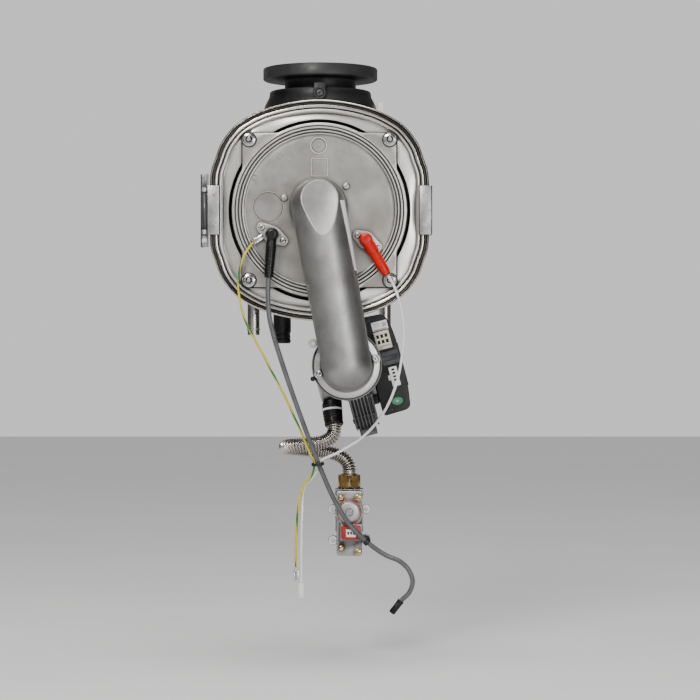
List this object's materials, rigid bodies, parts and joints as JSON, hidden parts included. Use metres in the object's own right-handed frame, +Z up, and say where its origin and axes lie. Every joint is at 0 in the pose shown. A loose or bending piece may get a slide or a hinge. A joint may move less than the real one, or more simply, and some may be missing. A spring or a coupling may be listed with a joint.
{
  "type": "burner assembly",
  "caption": "Condensing boiler burner module: stainless cell with burner door, mixing duct, premix fan, gas hose and valve, electrodes and leads.",
  "frame": {"origin": "centre of the flat rear face of the heat-exchanger cell, which lies against the cabinet's back panel", "axes": "+X to the right seen from the service side, +Y into the depth towards the back panel, +Z up"},
  "size_m": [0.3036, 0.2687, 0.7285],
  "materials": {
    "brushed_stainless": "pale brushed stainless sheet",
    "polished_stainless": "polished rolled stainless bead",
    "coil_stainless": "plain stainless, satin",
    "corrugated_stainless": "bright corrugated stainless",
    "ceramic_fibre": "matt ceramic fibre board",
    "black_plastic": "moulded black plastic",
    "charcoal_plastic": "moulded charcoal plastic",
    "bracket_sheet": "grey galvanised sheet",
    "cast_aluminium": "die-cast aluminium, fine grain",
    "sandcast_aluminium": "sand-blasted casting",
    "dark_casting": "dark coated casting",
    "valve_casting": "light grey die casting",
    "zinc_steel": "bright zinc plated steel",
    "graphite": "graphite rope seal",
    "beige_ceramic": "beige glazed ceramic",
    "black_rubber": "moulded black rubber",
    "red_silicone": "glossy red silicone",
    "red_plastic": "moulded red plastic",
    "cream_plastic": "moulded cream nylon",
    "white_plastic": "moulded white nylon",
    "brass": "machined brass",
    "grey_silicone": "grey silicone cable",
    "white_silicone": "white silicone cable",
    "earth_insulation": "yellow and green striped insulation"
  },
  "bodies": {
    "module": {"hx_shell": "brushed_stainless", "hx_rim": "polished_stainless", "hx_front_plate": "brushed_stainless", "hx_coil": "coil_stainless", "rear_insulation": "ceramic_fibre", "drain_spigot": "black_plastic", "left_bracket": "bracket_sheet", "right_bracket": "bracket_sheet", "burner_door": "cast_aluminium", "door_nut_upper_left": "zinc_steel", "door_nut_upper_right": "zinc_steel", "door_nut_lower_left": "zinc_steel", "door_nut_lower_right": "zinc_steel", "door_seal": "graphite", "burner_tube": "coil_stainless", "door_insulation": "ceramic_fibre", "ignition_electrode": "beige_ceramic", "ignition_screw_upper": "zinc_steel", "ignition_screw_lower": "zinc_steel", "ionisation_electrode": "beige_ceramic", "ionisation_screw_upper": "zinc_steel", "ionisation_screw_lower": "zinc_steel", "ignition_boot": "black_rubber", "ionisation_boot": "red_silicone", "earth_tab": "zinc_steel", "mixing_duct": "sandcast_aluminium", "flange_screw_left": "zinc_steel", "flange_screw_right": "zinc_steel", "fan_gasket": "black_rubber", "fan_scroll": "dark_casting", "fan_motor_plate": "dark_casting", "fan_electronics_cover": "charcoal_plastic", "fan_power_plug": "cream_plastic", "fan_signal_plug": "white_plastic", "mixer_body": "valve_casting", "gas_cuff": "black_rubber", "gas_hose": "corrugated_stainless", "gas_nut": "brass", "gas_valve_body": "valve_casting", "valve_gasket": "red_plastic", "gas_valve_cover": "valve_casting", "valve_coil_box": "red_plastic", "valve_plug": "white_plastic", "flue_adapter": "charcoal_plastic", "flue_sensor": "white_plastic", "ignition_lead": "grey_silicone", "ionisation_lead": "white_silicone", "earth_lead": "earth_insulation", "ignition_lead_end": "black_rubber", "ionisation_lead_end": "white_plastic", "earth_lead_end": "zinc_steel", "lead_tie": "black_plastic", "valve_clip": "black_plastic"},
    "fan_rotor": {"impeller": "coil_stainless", "rotor_shaft": "coil_stainless"},
    "flap": {"non_return_flap": "coil_stainless"},
    "armature": {"safety_armature": "coil_stainless", "safety_spring": "coil_stainless"},
    "throttle": {"throttle_screw": "brass"},
    "offset": {"offset_screw": "brass"}
  },
  "joints": [
    {"name": "fan_spin", "type": "hinge", "parent": "module", "child": "fan_rotor", "pos_m": [0.04108, -0.108, -0.22234], "axis": [0.9673, 0, 0.2538], "continuous": true},
    {"name": "flap_swing", "type": "hinge", "parent": "module", "child": "flap", "pos_m": [0.036, -0.211, -0.1788], "axis": [-1, 0, 0], "range_deg": [0, 50]},
    {"name": "armature_lift", "type": "slide", "parent": "module", "child": "armature", "axis": [0, 0, 1], "range_m": [0, 0.003], "stiffness_N_per_m": 300, "springref_m": -0.004, "deforming": ["safety_spring"]},
    {"name": "throttle_turn", "type": "hinge", "parent": "module", "child": "throttle", "pos_m": [0.0506, -0.137, -0.3796], "axis": [0, -1, 0], "range_deg": [-180, 180]},
    {"name": "offset_turn", "type": "hinge", "parent": "module", "child": "offset", "pos_m": [0.0506, -0.137, -0.452], "axis": [0, -1, 0], "range_deg": [-180, 180]}
  ]
}
